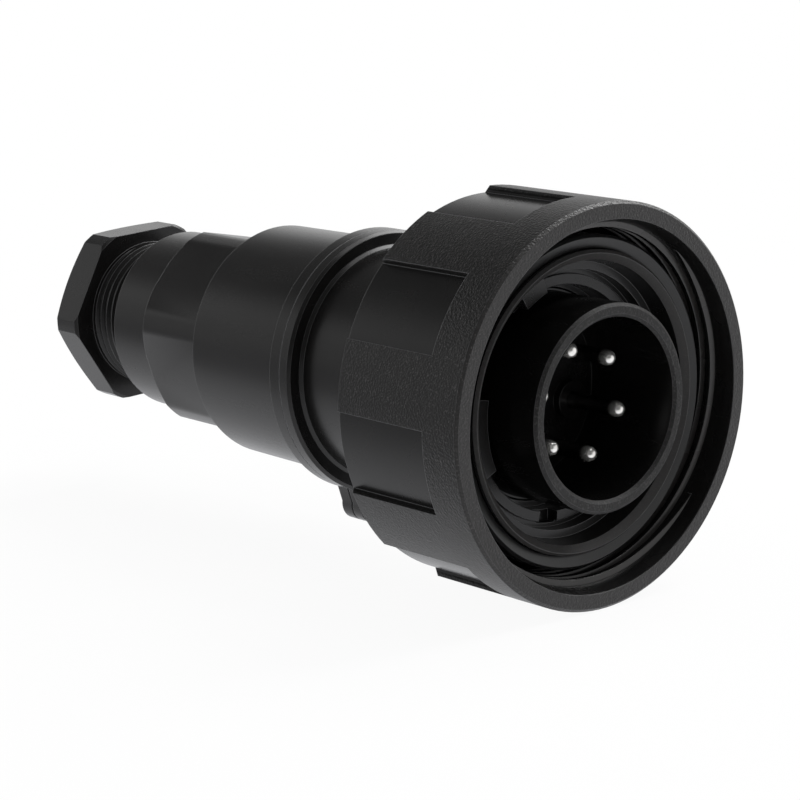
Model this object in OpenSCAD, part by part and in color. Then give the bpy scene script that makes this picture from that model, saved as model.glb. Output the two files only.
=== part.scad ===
// Waterproof circular cable connector: coupling ring, pin insert, two-part body and cable gland.
// The axis lies along X with the mating end towards +X, and Z is up.
// The origin is on the axis, in the plane of the coupling ring's front rim.

/* [Insert] */
// Outside diameter of the round shroud that guards the pins
shroud_d = 20.06; // [19:0.02:22]
// Wall of the shroud
shroud_wall = 1.32; // [1:0.02:1.6]
// How far the shroud stands ahead of the ring's rim
shroud_lead = 0.5; // [0:0.1:2]
// Depth of the shroud from its front edge to the contact face
shroud_depth = 11; // [10.5:0.5:14]
// Radial step from the shroud up to the contact block behind it
block_step = 0.27; // [0.2:0.01:0.4]
// Radial height of the flange at the back of the contact block
carrier_flange_h = 0.6; // [0.4:0.05:1]
// Thickness of that flange
carrier_flange_t = 2; // [1.6:0.1:2.6]
// Turn of the insert about the axis
insert_turn = -14.7; // [-90:0.1:90]

/* [Contacts] */
// Diameter of the pin circle
pin_circle_d = 10.8; // [10:0.1:11.4]
// Diameter of a contact pin
pin_d = 1.55; // [1.2:0.05:2]
// How far the pin tips stand back from the shroud's front edge
pin_set_back = 3.5; // [1:0.1:6]
// Height of the boss round each pin on the contact face
boss_h = 0.8; // [0.4:0.1:1.5]
// Diameter of the contact's trapped shoulder, and of the boss
shoulder_d = 3.8; // [3.6:0.1:4.2]
// Diameter of the wire barrel
wire_barrel_d = 3.2; // [3:0.1:3.4]
// Length of the wire barrel behind the shoulder
wire_barrel_len = 12; // [10:0.5:14]
// Diameter of the wire hole in the barrel
wire_hole_d = 1.8; // [1.2:0.1:2]
// Depth of the wire hole
wire_hole_depth = 7; // [6:0.5:8]
// Diameter of a terminal screw
screw_d = 1.6; // [1.2:0.1:2]
// Length of a terminal screw
screw_len = 2.1; // [1.8:0.1:2.4]
// Thickness of the disc that traps the contacts
contact_retainer_t = 2; // [1.5:0.1:2.5]

/* [Front body] */
// Radial gap between the shroud and the shelf around it
shelf_gap = 0.95; // [0.9:0.05:1.25]
// Radial width of the shelf
shelf_w = 1; // [0.8:0.05:1.3]
// Radial width of the moat between the shelf and the step around it
moat_w = 0.57; // [0.4:0.01:0.8]
// Radial width of the step under the lip
step_w = 1.1; // [0.9:0.05:1.4]
// Radial width of the sloping lip at the nose end
lip_w = 1; // [0.9:0.05:1.4]
// Depth of the nose end behind the ring's rim
nose_set = 2.65; // [2.2:0.05:3.2]
// Axial drop of the sloping lip
lip_drop = 0.6; // [0.3:0.05:0.9]
// Depth of the step behind the lip
step_depth = 2; // [1.6:0.05:2.2]
// Depth of the shelf behind the step
shelf_drop = 1.05; // [0.8:0.05:1.2]
// Depth of the moat behind the shelf
moat_depth = 0.4; // [0.3:0.05:0.6]
// Depth of the groove between the shelf and the shroud
groove_depth = 2.7; // [2.4:0.1:3]
// Depth of the notches in the shelf
notch_depth = 1.3; // [0.8:0.05:1.4]
// How far the keys stand forward of the shelf
key_h = 2.1; // [1.6:0.05:2.4]
// Radial step from the shelf's inner edge to the keys
key_step = 0.6; // [0.3:0.05:0.8]
// Length of the nose ahead of the collar
nose_len = 1.8; // [1.6:0.05:2.2]
// Thickness of the collar
collar_t = 3.55; // [3.5:0.05:4.3]
// Wall of the front barrel at its thinnest
barrel_wall = 0.85; // [0.75:0.05:1.2]
// Length of the front barrel from the collar to the flange
barrel_len = 22.6; // [22:0.1:28]
// Height of the flange above the front barrel
flange_h = 1.7; // [1.6:0.05:2.4]
// Thickness of the front body's half of the flange
front_flange_t = 1.4; // [1:0.1:2]
// Cone where the barrel runs into the flange
root_cone = 0.3; // [0.2:0.1:0.8]

/* [Face seal] */
// Radial width of the face seal
face_seal_w = 1.35; // [1.1:0.05:1.8]
// Thickness of the face seal at its outer edge
face_seal_t = 1.4; // [1.2:0.05:1.6]
// Dish of the face seal's front towards its inner edge
face_seal_dish = 0.4; // [0.2:0.05:0.6]

/* [Coupling ring] */
// Radial gap between the collar and the ring's thread bore
thread_gap = 1.35; // [1.1:0.05:1.6]
// Wall between the thread bore and the floor of a finger recess
ring_wall = 1.35; // [1.1:0.05:1.8]
// Height of the grip pads above the recess floors
pad_h = 0.75; // [0.5:0.05:1.1]
// Number of grip pads
pad_count = 8; // [6:1:10]
// Angle that one recess covers
recess_angle = 24.5; // [16:0.5:30]
// Turn of the ring about the axis
ring_turn = 35; // [0:0.5:45]
// Length of the ring along the axis
ring_len = 17; // [16:0.1:20]
// Length of the plain band at the rim
band_len = 4.5; // [3:0.1:7]
// Axial length of the bevel at the back of the pads
pad_bevel = 0.9; // [0.5:0.05:1.5]
// Thickness of the lip at the back of the ring
back_lip_t = 1.2; // [0.8:0.1:1.4]
// Height of the bead that the retaining washer snaps behind
bead_h = 0.45; // [0.3:0.05:0.6]
// Radial width of the lead-in bevel at the mouth
mouth_bevel_w = 0.4; // [0.3:0.05:0.8]
// Axial length of the lead-in bevel at the mouth
mouth_bevel_len = 1.4; // [0.6:0.05:1.4]
// Thickness of the split washer that keeps the ring on the body
ring_retainer_t = 3.1; // [2:0.1:3.2]
// Width of the split in that washer
ring_retainer_split = 1.2; // [0.6:0.1:2]

/* [Rear body] */
// Thickness of the rear body's half of the flange
rear_flange_t = 1.8; // [1.5:0.1:3]
// Drop from the flange to the shell behind it
shell_drop = 1.15; // [0.9:0.05:1.3]
// Length of the round shell behind the flange
shell_len = 14.2; // [13.5:0.1:18]
// Radial taper of the shell towards its back
shell_taper = 0.15; // [0:0.05:0.4]
// Wall of the shell round the wiring chamber
shell_wall = 1.35; // [1.2:0.05:1.6]
// Wall of the spigot inside the front body
spigot_wall = 1.6; // [1.2:0.05:1.7]
// Turn of the rear body about the axis
body_turn = -10.3; // [-90:0.1:90]
// Section diameter of the ring seal between the body halves
body_seal_d = 1; // [0.8:0.05:1.1]

/* [Index lug] */
// Width of the index lug at its root
lug_w = 6.2; // [5.6:0.1:6.6]
// Diameter of the lug's round end
lug_tip_d = 3.8; // [3:0.1:4.2]
// Height of the index lug above the flange
lug_h = 3.1; // [2.5:0.05:3.6]
// Angle of the index lug about the axis
lug_turn = -98; // [-180:1:180]

/* [Hex and neck] */
// Width of the spanner hex across its flats
hex_af = 20.2; // [19.6:0.1:21.4]
// Diameter that trims the hex corners
hex_corner_d = 22.1; // [21.5:0.1:23]
// Length of the hex
hex_len = 10.9; // [10:0.1:14]
// Bevel at the back of the hex
hex_bevel = 0.85; // [0.5:0.05:0.9]
// Diameter of the neck behind the hex
neck_d = 19.5; // [18.8:0.1:20]
// Length of the neck
neck_len = 6.4; // [5.6:0.1:9]
// Wall of the neck outside the gland thread
neck_wall = 1.7; // [1.2:0.05:1.9]

/* [Cable gland] */
// Largest cable that the nut lets through
cable_d = 8.4; // [7:0.1:9]
// Hole through the rubber bush
bush_hole_d = 6.5; // [5:0.1:7]
// Passage from the wiring chamber into the gland
passage_d = 10.4; // [9.6:0.1:10.8]
// Wall of the gland cage
cage_wall = 1.8; // [1.4:0.05:2]
// Number of fingers on the gland cage
cage_fingers = 8; // [6:1:10]
// Width of the slots between the fingers
cage_slot_w = 1; // [0.6:0.1:1.4]
// Axial length of the conical seat
seat_cone_len = 3; // [2.6:0.1:3.4]
// Length of the straight part of the gland cage
cage_len = 2.8; // [2:0.1:3]
// Thickness of the thrust washer
washer_t = 1.2; // [0.8:0.1:1.4]
// Room that the nut has to screw in before the gland is squeezed
gland_room = 3.9; // [3.8:0.1:4.2]
// Width of the gland nut across its flats
nut_af = 18.5; // [18:0.1:20]
// Diameter that trims the nut's corners
nut_corner_d = 20.6; // [20.3:0.1:21.2]
// Thickness of the nut's head
nut_head_t = 4.1; // [3:0.1:6]
// Thread left showing between the neck and the nut
nut_gap = 6.2; // [5:0.1:8]
// Turn of the nut about the axis
nut_turn = 3.9; // [-30:0.1:30]
// Flare of the nut's cable mouth
mouth_flare = 1.4; // [0.6:0.1:1.8]

/* [Fits] */
// Radial clearance of a turning or screwed fit
run_clear = 0.1; // [0.05:0.01:0.1]
// Clearance of a piece that is seated in another
seat_clear = 0.05; // [0.02:0.01:0.08]
// Axial clearance between pieces that turn on each other
end_clear = 0.2; // [0.1:0.05:0.25]
// Small bevel that breaks an edge
edge = 0.3; // [0.1:0.05:0.4]

/* [Hidden] */

// Fineness of round surfaces, and the extra length of a cutter past the faces that it opens
fine = 96;
cut = 1;
contact_count = 6;

// How far the spigot reaches ahead of the flange, and how far the wiring chamber and the gland's
// seat end from the back of the shell
spigot_reach = 3;
chamber_set = 3;
seat_set = 1;

// Radii of the insert, and of the socket built outward from it
shroud_r = shroud_d / 2;
shroud_in_r = shroud_r - shroud_wall;
block_r = shroud_r + block_step;
carrier_flange_r = block_r + carrier_flange_h;
shelf_in_r = shroud_r + shelf_gap;
shelf_out_r = shelf_in_r + shelf_w;
step_in_r = shelf_out_r + moat_w;
lip_in_r = step_in_r + step_w;
nose_r = lip_in_r + lip_w;
collar_r = nose_r + seat_clear + face_seal_w;

// Radii of the front barrel and the flange, outward from the insert
insert_bore_r = block_r + run_clear;
back_bore_r = carrier_flange_r + run_clear;
barrel_r = back_bore_r + barrel_wall;
flange_r = barrel_r + flange_h;

// Radii of the coupling ring and its washer
ring_bore_r = collar_r + thread_gap;
recess_r = ring_bore_r + ring_wall;
ring_r = recess_r + pad_h;
back_lip_r = collar_r + 2 * run_clear;
ring_retainer_in_r = barrel_r + run_clear;
ring_retainer_out_r = ring_bore_r - run_clear;

// Radii of the rear body and the gland
spigot_r = back_bore_r - run_clear;
spigot_in_r = spigot_r - spigot_wall;
shell_r = flange_r - shell_drop;
shell_back_r = shell_r - shell_taper;
chamber_r = shell_back_r - shell_wall;
neck_r = neck_d / 2;
gland_bore_r = neck_r - neck_wall;
shank_r = gland_bore_r - run_clear;
cage_r = gland_bore_r - 2 * run_clear;
cage_in_r = cage_r - cage_wall;
passage_r = passage_d / 2;
cable_r = cable_d / 2;

// Places along the axis, front to back
shroud_front = shroud_lead;
contact_face = shroud_front - shroud_depth;
nose_end = -nose_set;
lip_back = nose_end - lip_drop;
step_face = lip_back - step_depth;
shelf_face = step_face - shelf_drop;
moat_floor = shelf_face - moat_depth;
notch_floor = shelf_face - notch_depth;
groove_floor = shelf_face - groove_depth;
collar_front = nose_end - nose_len;
collar_back = collar_front - collar_t;
flange_front = collar_back - barrel_len;
parting = flange_front - front_flange_t;
shell_front = parting - rear_flange_t;
shell_back = shell_front - shell_len;
hex_back = shell_back - hex_len;
neck_back = hex_back - neck_len;

// Places of the pieces trapped inside the front body
spigot_front = flange_front + spigot_reach;
retainer_back = spigot_front + seat_clear;
block_back = retainer_back + contact_retainer_t;
shoulder_front = block_back + carrier_flange_t - seat_clear;
barrel_back = block_back - wire_barrel_len;
screw_place = barrel_back + wire_hole_depth / 2;

// Places of the coupling ring and its washer
ring_back = -ring_len;
back_lip_face = ring_back + back_lip_t;
ring_retainer_back = back_lip_face + end_clear;
ring_retainer_front = ring_retainer_back + ring_retainer_t;
bead_back = ring_retainer_front + end_clear;

// Places in the cable gland
chamber_back = shell_back + chamber_set;
seat_front = shell_back - seat_set;
seat_back = seat_front - seat_cone_len;
cage_back = seat_back - cage_len;
washer_front = cage_back - gland_room;
shank_front = washer_front - washer_t - end_clear;
nut_front = neck_back - nut_gap;
nut_back = nut_front - nut_head_t;

// Front of the gland cage, set back a little from its conical seat
cage_set = 0.2;
cage_nose_r = cage_in_r + 0.5;
seat_slope = seat_cone_len / (gland_bore_r - passage_r);
cage_front = seat_front - seat_slope * (cage_nose_r - passage_r) - cage_set;

// Middle radius of the ring seal between the body halves
body_seal_r = back_bore_r + body_seal_d / 2 + edge;

// Notches in the shelf and the keys that stand on it: first angle and sweep
shelf_notches = [[125, 45], [257, 12]];
shelf_keys = [[110, 14], [171.5, 34.5]];

plastic_black = [0.09, 0.09, 0.095];
rubber_black = [0.05, 0.05, 0.05];
plated_silver = [0.8, 0.8, 0.78];

// Solid of revolution about the axis: each point is [radius, place along the axis]
module turned(section) {
    rotate([90, 0, 90])
        rotate_extrude($fn = fine)
            polygon(section);
}

// Part of a turn of the same kind, from one angle over a sweep
module turned_sector(section, from, sweep) {
    rotate([90, 0, 90])
        rotate([0, 0, from])
            rotate_extrude(angle = sweep, $fn = fine)
                polygon(section);
}

// Round bar along the axis between two places
module bar(radius, back, front) {
    translate([back, 0, 0])
        rotate([0, 90, 0])
            cylinder(r = radius, h = front - back, $fn = fine);
}

// Hexagonal bar along the axis with one flat facing an angle
module hex_bar(across_flats, back, front, flat_angle) {
    rotate([flat_angle, 0, 0])
        rotate([90, 0, 90])
            rotate([0, 0, 30])
                translate([0, 0, back])
                    cylinder(d = across_flats / cos(30), h = front - back, $fn = 6);
}

// One place on the pin circle
module at_contact(index) {
    rotate([insert_turn + index * 360 / contact_count, 0, 0])
        translate([0, pin_circle_d / 2, 0])
            children();
}

// The same shape at every place on the pin circle
module at_every_contact() {
    for (index = [0:contact_count - 1])
        at_contact(index)
            children();
}

// Index lug: a tongue that narrows to a round end
module index_lug(back, front) {
    tip_r = lug_tip_d / 2;
    tip_place = flange_r + lug_h - tip_r;
    root_place = shell_r + edge / 2;
    web_end = tip_place + tip_r / 3;
    web_end_w = lug_tip_d - 2 * edge;
    rotate([lug_turn, 0, 0])
        translate([back, 0, 0])
            rotate([90, 0, 90]) {
                translate([tip_place, 0, 0])
                    cylinder(r = tip_r, h = front - back, $fn = fine);
                linear_extrude(front - back)
                    polygon([
                        [root_place, -lug_w / 2],
                        [web_end, -web_end_w / 2],
                        [web_end, web_end_w / 2],
                        [root_place, lug_w / 2]
                    ]);
            }
}

module coupling_ring() {
    pitch = 360 / pad_count;
    first_recess = ring_turn + (pitch - recess_angle) / 2;
    recess_section = [
        [recess_r, ring_back - cut],
        [ring_r + cut, ring_back - cut],
        [ring_r + cut, -band_len],
        [recess_r, -band_len]
    ];
    color(plastic_black)
        difference() {
            turned([
                [back_lip_r, ring_back],
                [recess_r - edge, ring_back],
                [ring_r, ring_back + pad_bevel],
                [ring_r, -edge],
                [ring_r - edge, 0],
                [ring_bore_r + mouth_bevel_w, 0],
                [ring_bore_r, -mouth_bevel_len],
                [ring_bore_r, bead_back + 2 * bead_h],
                [ring_bore_r - bead_h, bead_back + bead_h],
                [ring_bore_r, bead_back],
                [ring_bore_r, back_lip_face],
                [back_lip_r, back_lip_face]
            ]);
            for (pad = [0:pad_count - 1])
                turned_sector(recess_section, first_recess + pad * pitch, recess_angle);
        }
}

module ring_retainer() {
    color(plastic_black)
        difference() {
            turned([
                [ring_retainer_in_r, ring_retainer_back],
                [ring_retainer_out_r - edge, ring_retainer_back],
                [ring_retainer_out_r, ring_retainer_back + edge],
                [ring_retainer_out_r, ring_retainer_front - edge],
                [ring_retainer_out_r - edge, ring_retainer_front],
                [ring_retainer_in_r, ring_retainer_front]
            ]);
            translate([ring_retainer_back - cut, 0, -ring_retainer_split / 2])
                cube([ring_retainer_t + 2 * cut, ring_r, ring_retainer_split]);
        }
}

module front_body() {
    key_in_r = shelf_in_r + key_step;
    key_section = [
        [key_in_r, moat_floor - edge],
        [lip_in_r, moat_floor - edge],
        [lip_in_r, shelf_face + key_h],
        [key_in_r, shelf_face + key_h]
    ];
    notch_out_r = shelf_out_r + edge / 2;
    notch_section = [
        [shelf_in_r - cut, notch_floor],
        [notch_out_r, notch_floor],
        [notch_out_r, shelf_face + cut],
        [shelf_in_r - cut, shelf_face + cut]
    ];
    color(plastic_black) {
        difference() {
            turned([
                [insert_bore_r, shoulder_front],
                [insert_bore_r, groove_floor],
                [shelf_in_r, groove_floor],
                [shelf_in_r, shelf_face],
                [shelf_out_r, shelf_face],
                [shelf_out_r, moat_floor],
                [step_in_r, moat_floor],
                [step_in_r, step_face],
                [lip_in_r - edge, step_face],
                [lip_in_r, lip_back],
                [nose_r - edge, nose_end],
                [nose_r, nose_end - edge],
                [nose_r, collar_front],
                [collar_r, collar_front],
                [collar_r, collar_back + edge],
                [collar_r - edge, collar_back],
                [barrel_r, collar_back],
                [barrel_r, flange_front + root_cone],
                [barrel_r + root_cone, flange_front],
                [flange_r - edge, flange_front],
                [flange_r, flange_front - edge],
                [flange_r, parting],
                [back_bore_r, parting],
                [back_bore_r, shoulder_front]
            ]);
            for (notch = shelf_notches)
                turned_sector(notch_section, notch[0], notch[1]);
        }
        for (key = shelf_keys)
            turned_sector(key_section, key[0], key[1]);
        index_lug(parting, flange_front - edge / 2);
    }
}

module face_seal() {
    seal_back = collar_front + seat_clear;
    seal_front = seal_back + face_seal_t;
    color(rubber_black)
        turned([
            [nose_r + seat_clear, seal_back],
            [collar_r, seal_back],
            [collar_r, seal_front - edge],
            [collar_r - edge, seal_front],
            [nose_r + seat_clear, seal_front - face_seal_dish]
        ]);
}

module insert_carrier() {
    color(plastic_black)
        difference() {
            union() {
                turned([
                    [0, block_back],
                    [carrier_flange_r, block_back],
                    [carrier_flange_r, shoulder_front - seat_clear],
                    [block_r, shoulder_front - seat_clear],
                    [block_r, groove_floor],
                    [shroud_r, groove_floor],
                    [shroud_r, shroud_front - edge],
                    [shroud_r - edge, shroud_front],
                    [shroud_in_r + edge, shroud_front],
                    [shroud_in_r, shroud_front - edge],
                    [shroud_in_r, contact_face],
                    [0, contact_face]
                ]);
                at_every_contact()
                    bar(shoulder_d / 2, contact_face - cut, contact_face + boss_h);
            }
            at_every_contact()
                bar(pin_d / 2 + seat_clear, block_back - cut, contact_face + boss_h + cut);
            at_every_contact()
                bar(shoulder_d / 2 + seat_clear, block_back - cut, shoulder_front);
        }
}

module contact_pin(index) {
    tip = shroud_front - pin_set_back;
    pin_r = pin_d / 2;
    color(plated_silver)
        at_contact(index)
            difference() {
                union() {
                    bar(pin_r, block_back, tip - pin_r);
                    translate([tip - pin_r, 0, 0])
                        sphere(r = pin_r, $fn = fine);
                    bar(shoulder_d / 2, block_back, shoulder_front - seat_clear);
                    bar(wire_barrel_d / 2, barrel_back, block_back + cut);
                }
                bar(wire_hole_d / 2, barrel_back - cut, barrel_back + wire_hole_depth);
                translate([screw_place, 0, 0])
                    rotate([-90, 0, 0])
                        cylinder(d = screw_d + 2 * seat_clear, h = wire_barrel_d, $fn = fine);
            }
}

module contact_retainer() {
    color(plastic_black)
        difference() {
            bar(spigot_r, retainer_back, block_back - seat_clear);
            at_every_contact()
                bar(wire_barrel_d / 2 + seat_clear, retainer_back - cut, block_back + cut);
        }
}

module terminal_screws() {
    slot_w = screw_d / 5;
    color(plated_silver)
        at_every_contact()
            translate([screw_place, wire_hole_d / 2 - edge, 0])
                rotate([-90, 0, 0])
                    difference() {
                        cylinder(d = screw_d, h = screw_len, $fn = fine);
                        translate([-screw_d, -slot_w / 2, screw_len - slot_w])
                            cube([2 * screw_d, slot_w, cut]);
                    }
}

module body_seal() {
    color(rubber_black)
        translate([parting - body_seal_d / 2 - seat_clear, 0, 0])
            rotate([90, 0, 90])
                rotate_extrude($fn = fine)
                    translate([body_seal_r, 0])
                        circle(d = body_seal_d, $fn = fine);
}

module rear_body() {
    seal_half_w = body_seal_d / 2 + seat_clear;
    seal_floor = parting - body_seal_d - 2 * seat_clear;
    joint_face = parting - seat_clear;
    color(plastic_black)
        difference() {
            union() {
                turned([
                    [0, shell_back],
                    [shell_back_r - edge, shell_back],
                    [shell_back_r, shell_back + edge],
                    [shell_r, shell_front],
                    [flange_r - edge, shell_front],
                    [flange_r, shell_front + edge],
                    [flange_r, joint_face],
                    [body_seal_r + seal_half_w, joint_face],
                    [body_seal_r + seal_half_w, seal_floor],
                    [body_seal_r - seal_half_w, seal_floor],
                    [body_seal_r - seal_half_w, joint_face],
                    [spigot_r, joint_face],
                    [spigot_r, spigot_front - edge],
                    [spigot_r - edge, spigot_front],
                    [0, spigot_front]
                ]);
                intersection() {
                    hex_bar(hex_af, hex_back, shell_back + cut, body_turn + 90);
                    turned([
                        [0, hex_back],
                        [hex_corner_d / 2 - hex_bevel, hex_back],
                        [hex_corner_d / 2, hex_back + hex_bevel],
                        [hex_corner_d / 2, shell_back + cut],
                        [0, shell_back + cut]
                    ]);
                }
                turned([
                    [0, neck_back],
                    [neck_r - edge, neck_back],
                    [neck_r, neck_back + edge],
                    [neck_r, hex_back + cut],
                    [0, hex_back + cut]
                ]);
                index_lug(shell_front + edge / 2, joint_face - edge / 2);
            }
            turned([
                [0, neck_back - cut],
                [gland_bore_r, neck_back - cut],
                [gland_bore_r, seat_back],
                [passage_r, seat_front],
                [passage_r, shell_back],
                [chamber_r, chamber_back],
                [chamber_r, shell_front],
                [spigot_in_r, shell_front],
                [spigot_in_r, spigot_front + cut],
                [0, spigot_front + cut]
            ]);
        }
}

module gland_cage() {
    color(plastic_black)
        difference() {
            turned([
                [cage_in_r, cage_back],
                [cage_r, cage_back],
                [cage_r, seat_back - cage_set],
                [cage_nose_r, cage_front],
                [cage_in_r, cage_front]
            ]);
            for (finger = [0:cage_fingers - 1])
                rotate([(finger + 0.5) * 360 / cage_fingers, 0, 0])
                    translate([cage_back + cage_wall, passage_r, -cage_slot_w / 2])
                        cube([cage_front - cage_back, cage_r, cage_slot_w]);
        }
}

module gland_bush() {
    bush_r = cage_in_r - seat_clear;
    hole_r = bush_hole_d / 2;
    back = cage_back + edge;
    color(rubber_black)
        turned([
            [hole_r, back],
            [bush_r - edge, back],
            [bush_r, back + edge],
            [bush_r, cage_front - edge],
            [bush_r - edge, cage_front],
            [hole_r, cage_front]
        ]);
}

module thrust_washer() {
    color(plastic_black)
        turned([
            [cable_r + run_clear, washer_front - washer_t],
            [cage_r, washer_front - washer_t],
            [cage_r, washer_front],
            [cable_r + run_clear, washer_front]
        ]);
}

module gland_nut() {
    trim_r = nut_corner_d / 2;
    face_r = nut_af / 2;
    face_bevel = (trim_r - face_r) / 2;
    color(plastic_black)
        difference() {
            union() {
                intersection() {
                    hex_bar(nut_af, nut_back, nut_front, nut_turn + 90);
                    turned([
                        [0, nut_back],
                        [face_r, nut_back],
                        [trim_r, nut_back + face_bevel],
                        [trim_r, nut_front - edge],
                        [trim_r - edge, nut_front],
                        [0, nut_front]
                    ]);
                }
                turned([
                    [0, nut_front - cut],
                    [shank_r, nut_front - cut],
                    [shank_r, shank_front - edge],
                    [shank_r - edge, shank_front],
                    [0, shank_front]
                ]);
            }
            turned([
                [0, nut_back - cut],
                [cable_r + mouth_flare + cut, nut_back - cut],
                [cable_r, nut_back + mouth_flare],
                [cable_r, shank_front + cut],
                [0, shank_front + cut]
            ]);
        }
}

coupling_ring();
ring_retainer();
front_body();
face_seal();
insert_carrier();
contact_pin(0);  // contact_pin_1
contact_pin(1);  // contact_pin_2
contact_pin(2);  // contact_pin_3
contact_pin(3);  // contact_pin_4
contact_pin(4);  // contact_pin_5
contact_pin(5);  // contact_pin_6
contact_retainer();
terminal_screws();
body_seal();
rear_body();
gland_cage();
gland_bush();
thrust_washer();
gland_nut();
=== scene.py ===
import math

import bmesh
import bpy
from bpy.props import FloatProperty, FloatVectorProperty, IntProperty, PointerProperty
from mathutils import Matrix, Vector


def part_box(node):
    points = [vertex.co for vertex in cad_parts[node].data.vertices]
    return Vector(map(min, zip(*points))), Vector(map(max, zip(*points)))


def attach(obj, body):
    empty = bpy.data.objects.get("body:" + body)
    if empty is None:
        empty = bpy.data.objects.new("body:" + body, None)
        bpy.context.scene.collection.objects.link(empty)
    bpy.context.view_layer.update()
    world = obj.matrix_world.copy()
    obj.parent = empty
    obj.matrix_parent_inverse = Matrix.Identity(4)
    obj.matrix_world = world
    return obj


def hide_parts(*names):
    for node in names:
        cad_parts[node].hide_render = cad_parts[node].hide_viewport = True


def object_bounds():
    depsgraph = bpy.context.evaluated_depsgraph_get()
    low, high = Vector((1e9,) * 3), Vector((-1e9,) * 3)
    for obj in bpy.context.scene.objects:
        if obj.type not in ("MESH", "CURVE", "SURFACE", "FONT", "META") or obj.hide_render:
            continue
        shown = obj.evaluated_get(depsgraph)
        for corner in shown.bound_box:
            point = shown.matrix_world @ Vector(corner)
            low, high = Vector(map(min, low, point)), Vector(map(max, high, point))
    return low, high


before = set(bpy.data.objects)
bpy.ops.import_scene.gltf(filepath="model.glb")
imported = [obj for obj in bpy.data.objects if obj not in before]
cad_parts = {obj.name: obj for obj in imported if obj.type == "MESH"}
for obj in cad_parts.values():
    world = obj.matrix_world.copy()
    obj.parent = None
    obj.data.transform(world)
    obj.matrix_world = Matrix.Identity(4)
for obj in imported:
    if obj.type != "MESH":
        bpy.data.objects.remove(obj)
cad_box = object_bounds()

bl_info = {
    "name": "Round Cable Connector",
    "version": (1, 0, 0),
    "blender": (4, 5, 0),
    "location": "View3D > Sidebar > Connector",
    "description": "Threads, finishes and studio for a waterproof round cable connector",
    "category": "Object",
}

MM = 0.001

# Meshes.
MERGE_DISTANCE = 0.0005 * MM
SMOOTH_ANGLE = math.radians(28)
NUT_SMOOTH_ANGLE = math.radians(12)  # small, to keep the nut's shallow chamfer crisp

# Threads. A profile is the width as a share of the pitch, the crest as a share of the width
# and the rounding as a share of the crest.
RUN_OUT_SECTIONS = 16
RING_PROFILE = (0.66, 0.68, 0.12)
RING_SUNK = 0.06 * MM  # how far the ridges go into the wall of the bore
RING_STEPS_PER_TURN = 200
NUT_PROFILE = (0.96, 0.2, 0.35)
NUT_PROUD = 0.12 * MM  # how far the cutter stands out of the shank
NUT_STEPS_PER_TURN = 64
NUT_PLAIN_PITCHES = 0.7  # what the groove leaves plain next to the head

# Finishes. A pair says where a change begins and where it is complete. A noise is the size of its
# lumps, then its detail and its roughness if they aren't the usual ones. A table holds the weights
# of the marks that add up to a tone, a height or a roughness, and its base is added as it is.
BEVEL_SAMPLES = 8
FORWARD_LEAN = (0.3, 0.7)  # x of a normal
EDGE_BEND = (0.012, 0.1)  # 1 less the cosine between the plain and the rounded normal
TONE_ENDS = (0.6, 10)  # darkest and palest plastic, as shares of its colour
PIT_SIZE = 0.22 * MM

# Grained plastic of the coupling ring.
PAD_RADII = (19.0 * MM, 19.25 * MM)
RIM_RADII = (17.72 * MM, 17.86 * MM)
RIM_PLACES = (-0.4 * MM, -0.15 * MM)
THREAD_RADII = (17.36 * MM, 17.4 * MM)
THREAD_PLACES = (-9 * MM, -8 * MM)
LUMP_NOISE = (0.3 * MM, 2.0, 0.6)
CLOUD_NOISE = (5 * MM, 3.0)
# Painted glints: pale flecks in the grain that stand in for glints of light.
GRAINED_GLINT_NOISE = (0.18 * MM, 1.0)
GRAINED_GLINTS = (0.62, 0.7)
GRAINED_FINE_NOISE = (0.14 * MM,)
GRAINED_FINE_HEIGHT = 0.04
GRAINED_HEIGHT = {"lumps": 0.4, "pits": 0.5}
# The weights of the glints and the flanks paint light into the tone.
GRAINED_TONE = {"specks": 0.6, "clouds": 0.065, "grain": 0.06, "rim": 0.28, "flanks": 0.6}
GRAINED_ROUGH = {"grained": 0.12, "clouds": 0.06, "base": 0.24}
GRAINED_DEPTH = 0.085 * MM

# Satin plastic of the body, the insert and the nut.
# Where the matt, paler faces of the nose begin; their paler tone is painted light.
NOSE_MATT_FROM = -3.5 * MM
RIM_GRAIN_DEPTH = 0.5 * MM
MATT_FADE = 0.15 * MM
# Length over which the painted edge highlight fades in
HIGHLIGHT_FADE = 1.5 * MM
FLOW_STRETCH = (0.25, 1.0, 1.0)
FLOW_NOISE = (2.6 * MM, 4.0, 0.55)
PEEL_NOISE = (0.6 * MM,)
SATIN_FINE_NOISE = (0.12 * MM,)
# Painted glints in the matt grain
SATIN_GLINT_NOISE = (0.2 * MM, 1.0)
SATIN_GLINTS = (0.56, 0.64)
SATIN_GLINT_TONE = 0.4
SATIN_HEIGHT = {"peel": 0.3, "fine": 0.1}
SATIN_TONE = {"flow": 0.1, "fine": 0.035}
SATIN_ROUGH = {"flow": 0.08, "fine": 0.04, "base": 0.2}
SATIN_MATT_ROUGH = 0.3
SATIN_DEPTH = 0.012 * MM

# Rubber of the seals.
BLOOM_NOISE = (1.4 * MM, 4.0, 0.6)
DUST_NOISE = (0.14 * MM,)
DUST = (0.6, 0.8)
DUST_HEIGHT = 0.4
RUBBER_TONE = {"bloom": 0.5, "dust": 0.3}
RUBBER_TONE_ENDS = (0.7, 2.2)
RUBBER_ROUGH = {"bloom": 0.15, "base": 0.27}
RUBBER_DEPTH = 0.02 * MM
RUBBER_BUMP = 0.5

# Silver of the pins.
PIN_COUNT = 6
TIP_DEPTHS = (1.5 * MM, 0.8 * MM)
RING_STRETCH = (1.0, 0.02, 0.02)
RING_NOISE = (0.09 * MM,)
TARNISH_NOISE = (0.8 * MM, 3.0)
TARNISH = (0.35, 0.8)
TARNISHED_SHARE = 0.82
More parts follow.
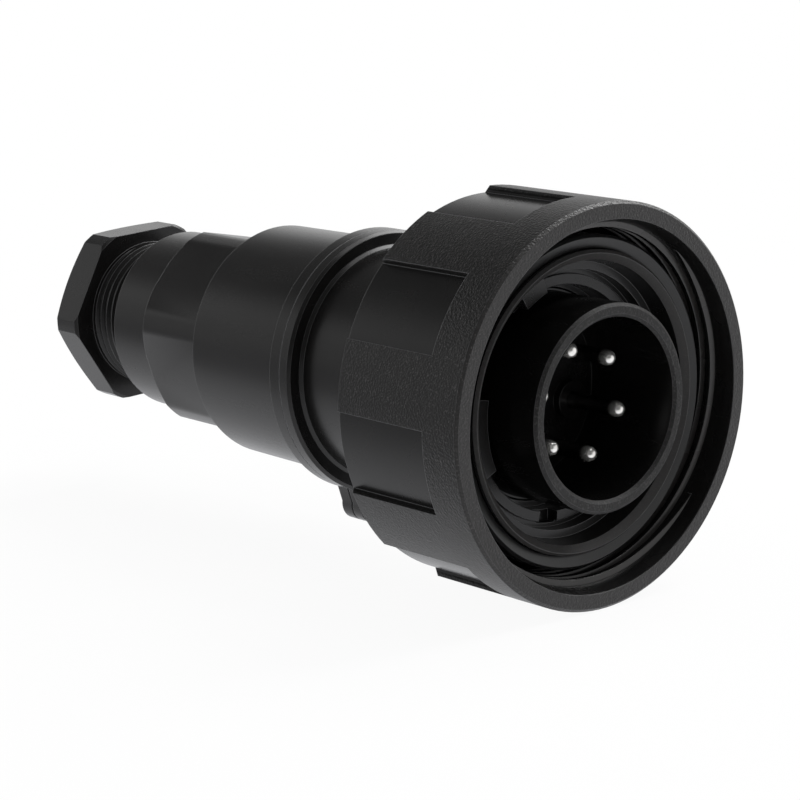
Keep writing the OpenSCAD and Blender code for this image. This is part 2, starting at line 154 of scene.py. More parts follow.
# Painted shade: how far the shaft below the tip is darkened
SHAFT_PAINTED_SHADE = 0.3
TIP_DULL = 0.15
SILVER_ROUGH = {"rings": 0.05, "tarnish": 0.06, "tip": 0.04, "base": 0.06}
SILVER_DEPTH = 0.006 * MM
SILVER_BUMP = 0.12

# Steel of the wire screws.
SCRATCH_STRETCH = (1.0, 0.12, 1.0)
SCRATCH_NOISE = (0.08 * MM, 3.0)
STEEL_TONE_ENDS = (0.6, 0.85)
STEEL_ROUGH = {"scratches": 0.2, "base": 0.22}
STEEL_DEPTH = 0.01 * MM
STEEL_BUMP = 0.4

# Studio.
FLOOR_SIZE = 6.0
FLOOR_CUTS = 3
SHADOW_RADII = (0.1, 0.25)
FLOOR_FRONT = (-60 * MM, -20 * MM)
FLOOR_BACK_TINT = (0.97, 0.975, 1.0)
FLOOR_FRONT_TINT = (0.45, 0.45, 0.46)
ROOM_HEIGHT = (0.28, 0.58)
ROOM_FACING = (0.5, 0.85)
DIM_SIDE = Vector((-0.74, -0.66, -0.1))
DIM_SIDE_WIDTH = (0.8, 0.98)
DIM_SIDE_SHARE = 0.5
WHITE = (1, 1, 1)
COOL_WHITE = (0.92, 0.95, 1.0)
LAMP_TARGET = Vector((-0.03, 0, 0))
LAMPS = (  # name, place, size, power, colour, and whether reflections show it
    ("back_softbox", (0.0, 0.4, 0.43), (0.35, 0.35), 3.0, WHITE, True),
    ("top_softbox", (0.12, 0.13, 0.6), (0.3, 0.3), 0.7, WHITE, True),
    ("left_panel", (-0.3, -0.45, 0.3), (0.35, 0.3), 0.6, COOL_WHITE, False),
)
SENSOR_WIDTH = 36.0
CLIP_RANGE = (0.01, 20.0)


class Shade:
    """One output socket. Arithmetic on it adds Math nodes to its finish."""

    def __init__(self, finish, socket):
        self.finish = finish
        self.socket = socket

    def math(self, operation, *others):
        values = dict(enumerate((self,) + others))
        return self.finish.node("ShaderNodeMath", {"operation": operation}, values)

    def __add__(self, other):
        return self.math("ADD", other)

    def __mul__(self, other):
        return self.math("MULTIPLY", other)

    def __rsub__(self, other):
        return self.finish.node("ShaderNodeMath", {"operation": "SUBTRACT"}, {0: other, 1: self})

    def root(self):
        return self.math("SQRT")

    def greatest(self, other):
        return self.math("MAXIMUM", other)

    def rise(self, low, high):
        """Goes smoothly from 0 at low to 1 at high."""
        inputs = {"Value": self, "From Min": low, "From Max": high}
        return self.finish.node("ShaderNodeMapRange", {"interpolation_type": "SMOOTHSTEP"}, inputs)


class Finish:
    """The node tree of a material or a world, with one method that adds any node."""

    def __init__(self, owner):
        owner.use_nodes = True
        self.owner = owner
        self.tree = owner.node_tree
        self.tree.nodes.clear()

    def node(self, kind, settings=None, inputs=None, output=0):
        """Adds a node. An input is a Shade, which is linked, or a value, which is set."""
        made = self.tree.nodes.new(kind)
        for name, value in (settings or {}).items():
            setattr(made, name, value)
        for name, value in (inputs or {}).items():
            if isinstance(value, Shade):
                self.tree.links.new(value.socket, made.inputs[name])
            else:
                made.inputs[name].default_value = value
        return Shade(self, made.outputs[output]) if len(made.outputs) else None

    def place(self):
        return self.node("ShaderNodeTexCoord", output="Object")

    def parts(self, vector):
        """The x, y and z of a vector."""
        split = self.node("ShaderNodeSeparateXYZ", None, {0: vector})
        return [Shade(self, socket) for socket in split.socket.node.outputs]

    def along(self, vector, direction):
        """How far a vector points along a direction."""
        inputs = {0: vector, 1: direction}
        return self.node("ShaderNodeVectorMath", {"operation": "DOT_PRODUCT"}, inputs, "Value")

    def noise(self, vector, grain, detail=2.0, roughness=0.5):
        """Noise whose lumps are about grain metres across."""
        inputs = {
            "Vector": vector, "Scale": 1.0 / grain, "Detail": detail, "Roughness": roughness}
        return self.node("ShaderNodeTexNoise", None, inputs)

    def cells(self, vector, grain):
        """Rounded cells that are about grain metres across."""
        inputs = {"Vector": vector, "Scale": 1.0 / grain}
        return self.node("ShaderNodeTexVoronoi", {"feature": "F1"}, inputs)

    def stretched(self, vector, scale):
        return self.node("ShaderNodeMapping", None, {"Vector": vector, "Scale": scale})

    def between(self, factor, first, second):
        """Mixes two colours, each a colour socket or three numbers."""
        ends = [end if isinstance(end, Shade) else (*end, 1.0) for end in (first, second)]
        inputs = {0: factor, 6: ends[0], 7: ends[1]}
        return self.node("ShaderNodeMix", {"data_type": "RGBA"}, inputs, 2)

    def rounded(self, radius):
        return self.node("ShaderNodeBevel", {"samples": BEVEL_SAMPLES}, {"Radius": radius})

    def plain_normal(self):
        return self.node("ShaderNodeNewGeometry", output="Normal")

    def forward(self):
        """1 on faces that look towards the mating end."""
        return self.parts(self.plain_normal())[0].rise(*FORWARD_LEAN)

    def edges(self, rounded):
        """1 along the edges of the piece, where the rounded normal leaves the plain one."""
        return (1 - self.along(rounded, self.plain_normal())).rise(*EDGE_BEND)

    def bump(self, height, depth, strength, under=None):
        """A normal bumped by height times depth, on top of the normal under it."""
        inputs = {"Height": height, "Distance": depth, "Strength": strength}
        if under is not None:
            inputs["Normal"] = under
        return self.node("ShaderNodeBump", None, inputs)

    def surface(self, **inputs):
        """Ends the tree with a Principled shader whose inputs are named in snake case."""
        named = {
            name.replace("_", " ").title().replace("Ior", "IOR"): value
            for name, value in inputs.items()}
        shader = self.node("ShaderNodeBsdfPrincipled", None, named)
        self.node("ShaderNodeOutputMaterial", None, {"Surface": shader})
        return self.owner


def tint(colour, share):
    return tuple(channel * share for channel in colour)


def tints(colour, shares):
    return [tint(colour, share) for share in shares]


def weighed(weights, **marks):
    """Adds up marks by their weights, and then the base if there is one."""
    parts = [mark * weights[name] for name, mark in marks.items()]
    total = parts[0]
    for part in parts[1:]:
        total = total + part
    return total + weights["base"] if "base" in weights else total


def new_finish(name):
    return Finish(bpy.data.materials.new(name))


def black_surface(finish, colours, tone, rough, height, depth, share=1.0, highlighted_part=1.0):
    """The shared look of the black plastics, with a painted highlight along the edges and a
    rounded, bumped normal.

    Tone goes from 0 for the darkest plastic to 1 for the palest, and share darkens both.
    """
    rounded = finish.rounded(colours.edge_round)
    # Painted highlight: edges are paled towards the edge colour, standing in for light caught on
    # rounded edges.
    highlighted = finish.edges(rounded) * colours.edge_highlight * highlighted_part
    body = finish.between(tone, *tints(colours.plastic, [end * share for end in TONE_ENDS]))
    return finish.surface(
        base_color=finish.between(highlighted, body, colours.edge),
        roughness=rough,
        normal=finish.bump(height, depth, 1.0, rounded),
        specular_ior_level=colours.gloss)


def grained_plastic(colours):
    """Black plastic with spark-eroded grain on the pads and the rim, and smooth elsewhere, with
    painted glints in the grain and painted light on the thread's forward flanks.
    """
    finish = new_finish("grained_black_plastic")
    place = finish.place()
    x, y, z = finish.parts(place)
    radius = (y * y + z * z).root()
    on_pads = radius.rise(*PAD_RADII)
    on_rim = x.rise(*RIM_PLACES) * radius.rise(*RIM_RADII)
    in_thread = x.rise(*THREAD_PLACES) * (1 - radius.rise(*THREAD_RADII))
    # Painted light: the forward-facing flanks of the thread are paled, as if lit.
    flanks = in_thread * finish.forward()
    grained = on_pads.greatest(on_rim)
    lumps = finish.noise(place, *LUMP_NOISE)
    pits = finish.cells(place, PIT_SIZE)
    # Painted glints: pale flecks on the grained faces, standing in for glints of light.
    specks = finish.noise(place, *GRAINED_GLINT_NOISE).rise(*GRAINED_GLINTS) * grained
    clouds = finish.noise(place, *CLOUD_NOISE)
    fine = finish.noise(place, *GRAINED_FINE_NOISE)
    grain = weighed(GRAINED_HEIGHT, lumps=lumps, pits=pits) * grained
    tone = weighed(
        GRAINED_TONE, specks=specks, clouds=clouds, grain=grain, rim=on_rim, flanks=flanks)
    rough = weighed(GRAINED_ROUGH, grained=grained, clouds=clouds)
    height = grain + fine * GRAINED_FINE_HEIGHT
    return black_surface(finish, colours, tone, rough, height, GRAINED_DEPTH)


def satin_plastic(
        name, colours, share=1.0, matt_from=None, matt_tone_and_painted_light=0.0, grain=0.0, highlighted_from=None):
    """Smooth satin black plastic with faint flow marks.

    Faces that look forward are matt and grained from matt_from on, with painted glints in the grain
    and a paler tone, which on the nose is painted light. Edges carry a painted highlight
    everywhere, or only in front of a given place.
    """
    finish = new_finish(name)
    place = finish.place()
    x = finish.parts(place)[0]
    flow = finish.noise(finish.stretched(place, FLOW_STRETCH), *FLOW_NOISE)
    peel = finish.noise(place, *PEEL_NOISE)
    fine = finish.noise(place, *SATIN_FINE_NOISE)
    height = weighed(SATIN_HEIGHT, peel=peel, fine=fine)
    tone = weighed(SATIN_TONE, flow=flow, fine=fine)
    rough = weighed(SATIN_ROUGH, flow=flow, fine=fine)
    highlighted_part = 1.0
    if matt_from is not None:
        matt = x.rise(matt_from, matt_from + MATT_FADE) * finish.forward()
        # Painted glints: pale flecks on the matt faces, standing in for glints of light.
        specks = finish.noise(place, *SATIN_GLINT_NOISE).rise(*SATIN_GLINTS) * matt
        height = height + finish.cells(place, PIT_SIZE) * matt * grain
        # The matt tone pales the forward faces; on the nose it is painted light on the lip.
        tone = tone + specks * grain * SATIN_GLINT_TONE + matt * matt_tone_and_painted_light
        rough = rough + matt * SATIN_MATT_ROUGH
    if highlighted_from is not None:
        # The painted edge highlight is kept only in front of this place.
        highlighted_part = x.rise(highlighted_from - HIGHLIGHT_FADE, highlighted_from)
    return black_surface(finish, colours, tone, rough, height, SATIN_DEPTH, share, highlighted_part)


def soft_rubber(colours):
    """Soft black rubber with a bloom that dulls it in patches."""
    finish = new_finish("soft_black_rubber")
    place = finish.place()
    bloom = finish.noise(place, *BLOOM_NOISE)
    dust = finish.noise(place, *DUST_NOISE).rise(*DUST)
    tone = weighed(RUBBER_TONE, bloom=bloom, dust=dust)
    height = bloom + dust * DUST_HEIGHT
    rounded = finish.rounded(colours.edge_round)
    return finish.surface(
        base_color=finish.between(tone, *tints(colours.rubber, RUBBER_TONE_ENDS)),
        roughness=weighed(RUBBER_ROUGH, bloom=bloom),
        normal=finish.bump(height, RUBBER_DEPTH, RUBBER_BUMP, rounded),
        specular_ior_level=colours.seal_gloss)


def silver_plate(colours):
    """Silver plating with fine turning rings, bright and patchily tarnished at the tip, with
    painted shade darkening the shaft below it.
    """
    finish = new_finish("bright_silver_plate")
    place = finish.place()
    rings = finish.noise(finish.stretched(place, RING_STRETCH), *RING_NOISE)
    tarnish = finish.noise(place, *TARNISH_NOISE)
    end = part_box("contact_pin_1")[1].x
    tip = finish.parts(place)[0].rise(*[end - depth for depth in TIP_DEPTHS])
    tarnished = tint(colours.plating, TARNISHED_SHARE)
    bright = finish.between(tarnish.rise(*TARNISH), colours.plating, tarnished)
    return finish.surface(
        # Painted shade: the shaft below the bright tip is darkened.
        base_color=finish.between(tip, tint(colours.plating, SHAFT_PAINTED_SHADE), bright),
        metallic=1 - tip * TIP_DULL,
        roughness=weighed(SILVER_ROUGH, rings=rings, tarnish=tarnish, tip=tip),
        normal=finish.bump(rings, SILVER_DEPTH, SILVER_BUMP))


def plated_steel(colours):
    """Plated steel of the wire screws, with fine scratches."""
    finish = new_finish("plated_screw_steel")
    place = finish.place()
    scratches = finish.noise(finish.stretched(place, SCRATCH_STRETCH), *SCRATCH_NOISE)
    return finish.surface(
        base_color=finish.between(scratches, *tints(colours.plating, STEEL_TONE_ENDS)),
        metallic=1.0,
        roughness=weighed(STEEL_ROUGH, scratches=scratches),
        normal=finish.bump(scratches, STEEL_DEPTH, STEEL_BUMP))


def leave_all():
    """Back to object mode with nothing selected."""
    if bpy.context.object and bpy.context.object.mode != "OBJECT":
        bpy.ops.object.mode_set(mode="OBJECT")
    bpy.ops.object.select_all(action="DESELECT")


def take(piece):
    """Makes piece the only selected and active object."""
    leave_all()
    piece.select_set(True)
    bpy.context.view_layer.objects.active = piece


def open_mesh(piece):
    """Takes a piece into edit mode, where vertices are selected."""
    take(piece)
    bpy.ops.object.mode_set(mode="EDIT")
    bpy.ops.mesh.select_mode(type="VERT")


def open_whole_mesh(piece):
    """Takes a piece into edit mode with all of it selected."""
    open_mesh(piece)
    bpy.ops.mesh.select_all(action="SELECT")


def close_mesh():
    bpy.ops.object.mode_set(mode="OBJECT")


def pick(piece, test):
    """In edit mode, selects the vertices that pass the test."""
    mesh = bmesh.from_edit_mesh(piece.data)
    mesh.verts.ensure_lookup_table()
    for vertex in mesh.verts:
        vertex.select_set(bool(test(vertex)))
    mesh.select_flush(True)
    bmesh.update_edit_mesh(piece.data)


def merged_copy(node, name):
    """A copy of a CAD node with its triangles joined and its curved faces smooth."""
    piece = bpy.data.objects.new(name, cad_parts[node].data.copy())
    bpy.context.scene.collection.objects.link(piece)
    open_whole_mesh(piece)
    bpy.ops.mesh.remove_doubles(threshold=MERGE_DISTANCE)
    close_mesh()
    bpy.ops.mesh.customdata_custom_splitnormals_clear()
    bpy.ops.object.shade_smooth_by_angle(angle=SMOOTH_ANGLE)
    return piece


def place_piece(piece, body, finish):
    """Gives a piece its finish and its material slot, and fixes it to a body."""
    piece.data.materials.clear()
    piece.data.materials.append(finish)
    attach(piece, body)
    leave_all()


def dress_node(node, body, finish):
    """Shows a CAD node as a smooth copy in a finish."""
    piece = merged_copy(node, node + "_finished")
    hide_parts(node)
    place_piece(piece, body, finish)


def wind(piece, turns, lead, steps):
    """Winds the open section of piece into a right-hand helix about the axis and closes its ends.

    Turns below zero run from the section towards the back. Returns the section's corner count.
    """
    corners = len(piece.data.vertices)
    take(piece)
    screw = piece.modifiers.new("wind", "SCREW")
    screw.axis = "X"
    screw.angle = math.tau * turns
    screw.screw_offset = lead * turns
    screw.steps = screw.render_steps = steps
    screw.use_merge_vertices = False
    bpy.ops.object.modifier_apply(modifier=screw.name)
    total = len(piece.data.vertices)
    for first in (0, total - corners):
        open_mesh(piece)
        pick(piece, lambda vertex: first <= vertex.index < first + corners)
        bpy.ops.mesh.edge_face_add()
        close_mesh()
    return corners


def sink_ends(piece, corners, factor):
    """Runs both ends of a wound ridge out by scaling their last sections about the axis."""
    total = len(piece.data.vertices)
    for section in range(RUN_OUT_SECTIONS):
        share = (1 - section / RUN_OUT_SECTIONS) ** 2
        scale = 1 + (factor - 1) * share
        open_mesh(piece)
        pick(piece, lambda vertex: section in (
            vertex.index // corners, (total - 1 - vertex.index) // corners))
        bpy.ops.transform.resize(value=(1, scale, scale), center_override=(0, 0, 0))
        close_mesh()


def ridge_section(name, place, radius, pitch, height, profile):
    """An open ridge outline in the XY plane. Its base is at radius, its crest nearer the axis."""
    width_share, crest_share, round_share = profile
    width = pitch * width_share
    middle = radius - height / 2
    leave_all()
    bpy.ops.mesh.primitive_plane_add(size=1.0, location=(place, middle, 0))
    piece = bpy.context.object
    piece.name = name
    bpy.ops.object.transform_apply(location=True, rotation=True, scale=True)
    open_whole_mesh(piece)
    bpy.ops.transform.resize(value=(width, height, 1), center_override=(place, middle, 0))
    pick(piece, lambda vertex: vertex.co.y < middle)
    bpy.ops.transform.resize(value=(crest_share, 1, 1), center_override=(place, radius, 0))
    bpy.ops.mesh.bevel(offset=width * crest_share * round_share, segments=2, affect="VERTICES")
    bpy.ops.mesh.select_all(action="SELECT")
    bpy.ops.mesh.delete(type="ONLY_FACE")
    close_mesh()
    return piece


def face_outwards(piece):
    open_whole_mesh(piece)
    bpy.ops.mesh.normals_make_consistent(inside=False)
    close_mesh()


class ConnectorThreads(bpy.types.PropertyGroup):
    """Sizes of the two threads."""

    ring_starts: IntProperty(
        name="Ring starts", description="Starts of the coupling thread", default=4, min=1, max=6)
    ring_pitch: FloatProperty(
        name="Ring pitch", description="Spacing of the coupling thread's crests",
        default=1.3 * MM, unit="LENGTH")
    ring_turns: FloatProperty(
        name="Ring turns", description="Turns of each start of the coupling thread",
        default=1.25, min=0.2)
    ring_root: FloatProperty(
        name="Ring root radius", description="Radius of the bore under the coupling thread",
        default=17.4 * MM, unit="LENGTH", subtype="DISTANCE")
    ring_height: FloatProperty(
        name="Ring ridge height", description="Height of the coupling thread's ridges",
        default=0.6 * MM, unit="LENGTH", subtype="DISTANCE")
    ring_front: FloatProperty(
        name="Ring thread depth", description="Depth of each start behind the ring's rim",
        default=1.8 * MM, unit="LENGTH", subtype="DISTANCE")
    ring_start_turn: FloatProperty(
        name="Ring thread turn", description="Turn of the first start about the axis",
        default=math.radians(-38), subtype="ANGLE")
    nut_pitch: FloatProperty(
        name="Nut pitch", description="Spacing of the gland nut's thread",
        default=1.0 * MM, unit="LENGTH")
    nut_shank: FloatProperty(
        name="Nut shank radius", description="Radius of the gland nut's shank over its thread",
        default=7.95 * MM, unit="LENGTH", subtype="DISTANCE")
    nut_depth: FloatProperty(
        name="Nut groove depth", description="Depth of the groove of the gland nut's thread",
        default=0.5 * MM, unit="LENGTH", subtype="DISTANCE")
    nut_head: FloatProperty(
        name="Nut head face", description="Place of the face that the nut's thread runs up to",
        default=-71.5 * MM, unit="LENGTH", subtype="DISTANCE")


class ConnectorColours(bpy.types.PropertyGroup):
    """Colours and gloss of the finishes, the roundness of edges and the painted highlight along
    them.
    """

    plastic: FloatVectorProperty(
        name="Plastic", description="Colour of the black plastic",
        default=(0.0066, 0.0063, 0.0062), subtype="COLOR")
    # The edge colour and its share paint a highlight along the plastic's edges.
    edge: FloatVectorProperty(
        name="Highlighted edge", description="Colour of the plastic's worn edges",
        default=(0.16, 0.16, 0.165), subtype="COLOR")
    edge_highlight: FloatProperty(
        name="Edge highlight", description="How far the edges take their worn colour",
        default=0.6, min=0.0, max=1.0)
    rubber: FloatVectorProperty(
        name="Rubber", description="Colour of the seals",
        default=(0.012, 0.012, 0.012), subtype="COLOR")
    plating: FloatVectorProperty(
        name="Plating", description="Colour of the pins' plating",
        default=(0.93, 0.92, 0.89), subtype="COLOR")
    gloss: FloatProperty(
        name="Gloss", description="Strength of the reflections on plastic",
        default=0.36, min=0.0, max=1.0)
    seal_gloss: FloatProperty(
        name="Seal gloss", description="Strength of the reflections on rubber",
        default=0.42, min=0.0, max=1.0)
    edge_round: FloatProperty(
        name="Edge rounding", description="Radius that moulded edges seem to have",
        default=0.12 * MM, unit="LENGTH")


class ConnectorStudio(bpy.types.PropertyGroup):
    """Camera, floor and light."""

    lens: FloatProperty(
        name="Lens", description="Focal length of the camera", default=117.8, unit="CAMERA")
    eye: FloatVectorProperty(
        name="Eye", description="Place of the camera",
        default=(0.16523, -0.17447, 0.05077), subtype="TRANSLATION")
    gaze: FloatVectorProperty(
        name="Gaze", description="Direction in which the camera looks",
        default=(-0.7284, 0.6538, -0.20413), subtype="DIRECTION")
    floor: FloatVectorProperty(
        name="Floor", description="Colour of the floor", default=(0.9, 0.9, 0.9), subtype="COLOR")
    shadow: FloatProperty(
        name="Shadow", description="How much of the shadow the floor keeps",
        default=0.06, min=0.0, max=1.0)
    room: FloatProperty(
        name="Room", description="Brightness of the room that faces the backdrop, in reflections",
        default=0.14, min=0.0, max=1.0)
    fill: FloatProperty(
        name="Fill", description="Brightness of the soft light from all round",
        default=0.35, min=0.0, max=1.0)


class CONNECTOR_OT_coupling_ring(bpy.types.Operator):
    """Gives the coupling ring its grained and smooth faces"""

    bl_idname = "connector.coupling_ring"
    bl_label = "Coupling Ring"

    def execute(self, context):
        finish = grained_plastic(context.scene.connector_colours)
        dress_node("coupling_ring", "ring", finish)
        return {"FINISHED"}


class CONNECTOR_OT_coupling_thread(bpy.types.Operator):
    """Winds the ridges of the coupling thread in the ring's bore"""

    bl_idname = "connector.coupling_thread"
    bl_label = "Coupling Thread"

    def execute(self, context):
        sizes = context.scene.connector_threads
        ridge = self.one_start(sizes)
        starts = [ridge]
        for _ in range(1, sizes.ring_starts):
            take(ridge)
            bpy.ops.object.duplicate()
            starts.append(bpy.context.object)
        for index, start in enumerate(starts):
            angle = sizes.ring_start_turn + math.tau * index / sizes.ring_starts
            start.data.transform(Matrix.Rotation(angle, 4, "X"))
        leave_all()
        for start in starts:
            start.select_set(True)
        bpy.context.view_layer.objects.active = ridge
        bpy.ops.object.join()
        bpy.ops.object.shade_smooth_by_angle(angle=SMOOTH_ANGLE)
        finish = bpy.data.materials["grained_black_plastic"]
        place_piece(ridge, "ring", finish)
        return {"FINISHED"}

    @staticmethod
    def one_start(sizes):
        """The ridge of one start, with both ends run out into the bore."""
        ridge = ridge_section(
            "coupling_thread", -sizes.ring_front, sizes.ring_root + RING_SUNK,
            sizes.ring_pitch, sizes.ring_height + RING_SUNK, RING_PROFILE)
        lead = sizes.ring_pitch * sizes.ring_starts
        steps = int(sizes.ring_turns * RING_STEPS_PER_TURN)
        corners = wind(ridge, -sizes.ring_turns, lead, steps)
        sink_ends(ridge, corners, 1 + sizes.ring_height / sizes.ring_root)
        face_outwards(ridge)
        return ridge


class CONNECTOR_OT_body(bpy.types.Operator):
    """Gives the two body halves and the plastic pieces inside them their satin finish"""

    bl_idname = "connector.body"
    bl_label = "Body"

    def execute(self, context):
        colours = context.scene.connector_colours
        finish = satin_plastic("satin_black_plastic", colours)
        # The paler forward faces of the nose are painted light on its lip.
        nose = satin_plastic(
            "satin_black_nose", colours, matt_from=NOSE_MATT_FROM, matt_tone_and_painted_light=0.4, grain=0.3)
        dress_node("front_body", "shell", nose)
        for node in ("rear_body", "gland_cage"):
            dress_node(node, "shell", finish)
        dress_node("ring_retainer", "ring_washer", finish)
        dress_node("thrust_washer", "gland_washer", finish)
        return {"FINISHED"}


class CONNECTOR_OT_insert(bpy.types.Operator):
    """Gives the shroud with its contact block a satin finish with a grained rim"""

    bl_idname = "connector.insert"
    bl_label = "Insert"

    def execute(self, context):
        grained_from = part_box("insert_carrier")[1].x - RIM_GRAIN_DEPTH
        # The grained rim carries painted glints, a painted edge highlight and a paler tone on its
        # forward face.
        finish = satin_plastic(
            "satin_black_insert", context.scene.connector_colours, share=0.5,
            matt_from=grained_from, matt_tone_and_painted_light=0.2, grain=2.4, highlighted_from=grained_from)
        for node in ("insert_carrier", "contact_retainer"):
            dress_node(node, "shell", finish)
        return {"FINISHED"}


class CONNECTOR_OT_contacts(bpy.types.Operator):
    """Plates the pins and their wire screws"""

    bl_idname = "connector.contacts"
    bl_label = "Contacts"

    def execute(self, context):
        colours = context.scene.connector_colours
        plate = silver_plate(colours)
        for index in range(1, PIN_COUNT + 1):
            dress_node(f"contact_pin_{index}", "shell", plate)
        dress_node("terminal_screws", "shell", plated_steel(colours))
        return {"FINISHED"}


class CONNECTOR_OT_seals(bpy.types.Operator):
    """Gives the seals and the gland's bush their rubber"""

    bl_idname = "connector.seals"
    bl_label = "Seals"

    def execute(self, context):
        rubber = soft_rubber(context.scene.connector_colours)
        for node in ("face_seal", "body_seal", "gland_bush"):
            dress_node(node, "shell", rubber)
        return {"FINISHED"}


class CONNECTOR_OT_gland_nut(bpy.types.Operator):
    """Cuts the thread into the gland nut's shank"""

    bl_idname = "connector.gland_nut"
    bl_label = "Gland Nut"

    def execute(self, context):
        nut = merged_copy("gland_nut", "gland_nut_threaded")
        self.cut_thread(nut, context.scene.connector_threads)
        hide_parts("gland_nut")
        finish = satin_plastic("satin_black_nut", context.scene.connector_colours)
        place_piece(nut, "nut", finish)
        return {"FINISHED"}

    @staticmethod
    def cut_thread(nut, sizes):
        """Takes a helical groove out of the shank, from its front end to just short of the head."""
        pitch = sizes.nut_pitch
        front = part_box("gland_nut")[1].x + pitch
        back = sizes.nut_head + pitch * NUT_PLAIN_PITCHES
        turns = (front - back) / pitch
        cutter = ridge_section(
            "thread_cutter", front, sizes.nut_shank + NUT_PROUD,
            pitch, sizes.nut_depth + NUT_PROUD, NUT_PROFILE)
        corners = wind(cutter, -turns, pitch, int(turns * NUT_STEPS_PER_TURN))
        sink_ends(cutter, corners, 1 + sizes.nut_depth / sizes.nut_shank)
        face_outwards(cutter)
        take(nut)
        groove = nut.modifiers.new("groove", "BOOLEAN")
        groove.operation = "DIFFERENCE"
        groove.solver = "EXACT"
        groove.object = cutter
        bpy.ops.object.modifier_apply(modifier=groove.name)
        bpy.data.objects.remove(cutter)
        take(nut)
        bpy.ops.object.shade_smooth_by_angle(angle=NUT_SMOOTH_ANGLE)


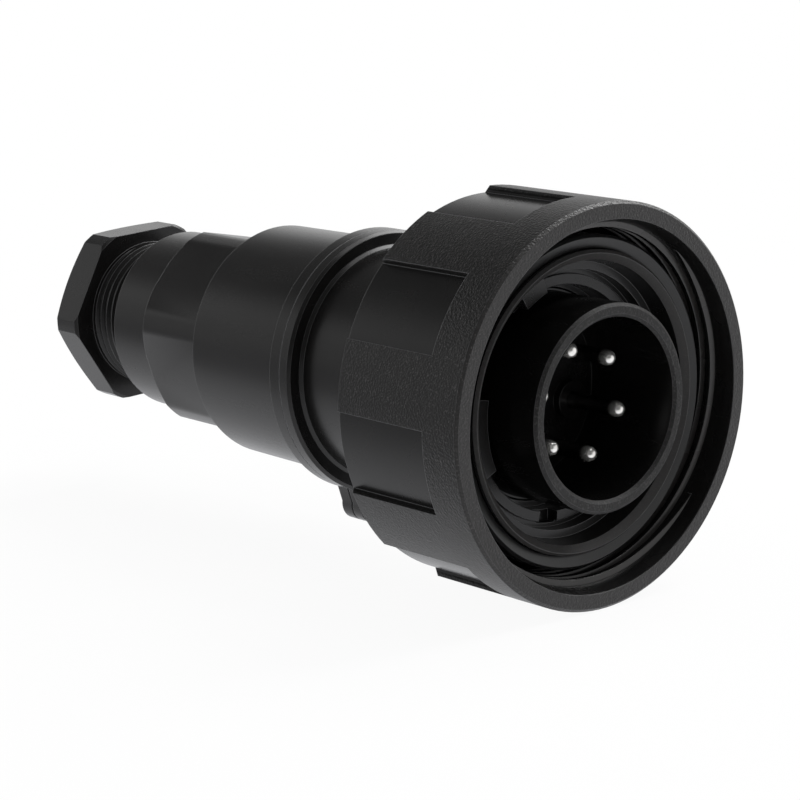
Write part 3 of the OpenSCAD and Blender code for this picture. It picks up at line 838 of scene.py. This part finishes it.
class CONNECTOR_OT_stage(bpy.types.Operator):
    """Sets the floor, the lamps, the white surroundings and the camera"""

    bl_idname = "connector.stage"
    bl_label = "Stage"

    def execute(self, context):
        studio = context.scene.connector_studio
        self.floor(studio)
        self.surroundings(studio)
        for lamp in LAMPS:
            self.lamp(*lamp)
        self.camera(studio)
        context.scene.view_settings.view_transform = "Standard"
        return {"FINISHED"}

    @staticmethod
    def ray_kinds(finish):
        """Two shares: 1 on rays from the camera, and 1 on rays from a gloss or a glass."""
        kinds = ("Is Camera Ray", "Is Glossy Ray", "Is Transmission Ray")
        camera, glossy, through = [
            finish.node("ShaderNodeLightPath", output=kind) for kind in kinds]
        return camera, glossy.greatest(through)

    def floor(self, studio):
        """White for the camera apart from a faint shadow, and dimmer in front for reflections."""
        leave_all()
        bpy.ops.mesh.primitive_plane_add(size=FLOOR_SIZE, location=(0, 0, cad_box[0][2]))
        floor = bpy.context.object
        floor.name = "studio_floor"
        open_whole_mesh(floor)
        bpy.ops.mesh.subdivide(number_cuts=FLOOR_CUTS)
        close_mesh()
        finish = new_finish("white_floor")
        x, y, _ = finish.parts(finish.place())
        far = (x * x + y * y).root().rise(*SHADOW_RADII)
        camera, mirrored = self.ray_kinds(finish)
        kept = (1 - far) * studio.shadow
        front = 1 - y.rise(*FLOOR_FRONT)
        matt = finish.node("ShaderNodeBsdfDiffuse", None, {"Color": (*studio.floor, 1.0)})
        reflected = finish.between(front, FLOOR_BACK_TINT, FLOOR_FRONT_TINT)
        tinted = finish.between(mirrored, WHITE, reflected)
        white = finish.node("ShaderNodeEmission", None, {"Color": tinted, "Strength": 1.0})
        share = (camera * (1 - kept)).greatest(mirrored)
        mixed = finish.node("ShaderNodeMixShader", None, {0: share, 1: matt, 2: white})
        finish.node("ShaderNodeOutputMaterial", None, {"Surface": mixed})
        floor.data.materials.append(finish.owner)

    def surroundings(self, studio):
        """White for the camera. Reflections see the backdrop and the dim room that faces it."""
        world = bpy.data.worlds.new("white_studio")
        bpy.context.scene.world = world
        finish = Finish(world)
        direction = finish.node("ShaderNodeTexCoord", output="Generated")
        high = finish.parts(direction)[2].rise(*ROOM_HEIGHT)
        facing = finish.along(direction, -Vector(studio.gaze).normalized()).rise(*ROOM_FACING)
        beside = finish.along(direction, DIM_SIDE.normalized()).rise(*DIM_SIDE_WIDTH)
        backdrop = (1 - high) * (1 - facing) * (1 - beside * DIM_SIDE_SHARE)
        reflected = backdrop * (1 - studio.room) + studio.room
        camera, mirrored = self.ray_kinds(finish)
        level = camera + (1 - camera) * (mirrored * reflected + (1 - mirrored) * studio.fill)
        inputs = {"Color": (*WHITE, 1), "Strength": level}
        light = finish.node("ShaderNodeBackground", None, inputs)
        finish.node("ShaderNodeOutputWorld", None, {"Surface": light})

    @staticmethod
    def lamp(name, place, size, power, colour, mirrored):
        """One rectangular area lamp that points at the part."""
        data = bpy.data.lights.new(name, "AREA")
        data.shape = "RECTANGLE"
        data.size, data.size_y = size
        data.energy = power
        data.color = colour
        lamp = bpy.data.objects.new(name, data)
        lamp.location = place
        lamp.visible_glossy = mirrored
        lamp.rotation_euler = (LAMP_TARGET - Vector(place)).to_track_quat("-Z", "Y").to_euler()
        bpy.context.scene.collection.objects.link(lamp)

    @staticmethod
    def camera(studio):
        """The photograph's camera, level with the horizon."""
        data = bpy.data.cameras.new("photo_camera")
        data.sensor_width = SENSOR_WIDTH
        data.lens = studio.lens
        data.clip_start, data.clip_end = CLIP_RANGE
        camera = bpy.data.objects.new("photo_camera", data)
        gaze = Vector(studio.gaze).normalized()
        right = gaze.cross(Vector((0, 0, 1))).normalized()
        turned = Matrix((right, right.cross(gaze), -gaze)).transposed()
        camera.matrix_world = Matrix.Translation(Vector(studio.eye)) @ turned.to_4x4()
        bpy.context.scene.collection.objects.link(camera)
        bpy.context.scene.camera = camera


class CONNECTOR_PT_panel(bpy.types.Panel):
    """Lists the connector's pieces and their settings"""

    bl_idname = "CONNECTOR_PT_panel"
    bl_label = "Connector"
    bl_space_type = "VIEW_3D"
    bl_region_type = "UI"
    bl_category = "Connector"

    def draw(self, context):
        for operator in OPERATORS:
            self.layout.operator(operator.bl_idname)
        for group in GROUPS:
            settings = getattr(context.scene, group)
            for name in settings.__annotations__:
                self.layout.prop(settings, name)


GROUPS = {
    "connector_threads": ConnectorThreads,
    "connector_colours": ConnectorColours,
    "connector_studio": ConnectorStudio,
}
OPERATORS = (
    CONNECTOR_OT_coupling_ring,
    CONNECTOR_OT_coupling_thread,
    CONNECTOR_OT_body,
    CONNECTOR_OT_insert,
    CONNECTOR_OT_contacts,
    CONNECTOR_OT_seals,
    CONNECTOR_OT_gland_nut,
    CONNECTOR_OT_stage,
)
CLASSES = (*GROUPS.values(), *OPERATORS, CONNECTOR_PT_panel)


def register():
    for kind in CLASSES:
        bpy.utils.register_class(kind)
    for name, kind in GROUPS.items():
        setattr(bpy.types.Scene, name, PointerProperty(type=kind))


def unregister():
    for name in GROUPS:
        delattr(bpy.types.Scene, name)
    for kind in reversed(CLASSES):
        bpy.utils.unregister_class(kind)


def main():
    register()
    bpy.ops.connector.coupling_ring()
    bpy.ops.connector.coupling_thread()
    bpy.ops.connector.body()
    bpy.ops.connector.insert()
    bpy.ops.connector.contacts()
    bpy.ops.connector.seals()
    bpy.ops.connector.gland_nut()
    bpy.ops.connector.stage()


if __name__ == "__main__":
    main()
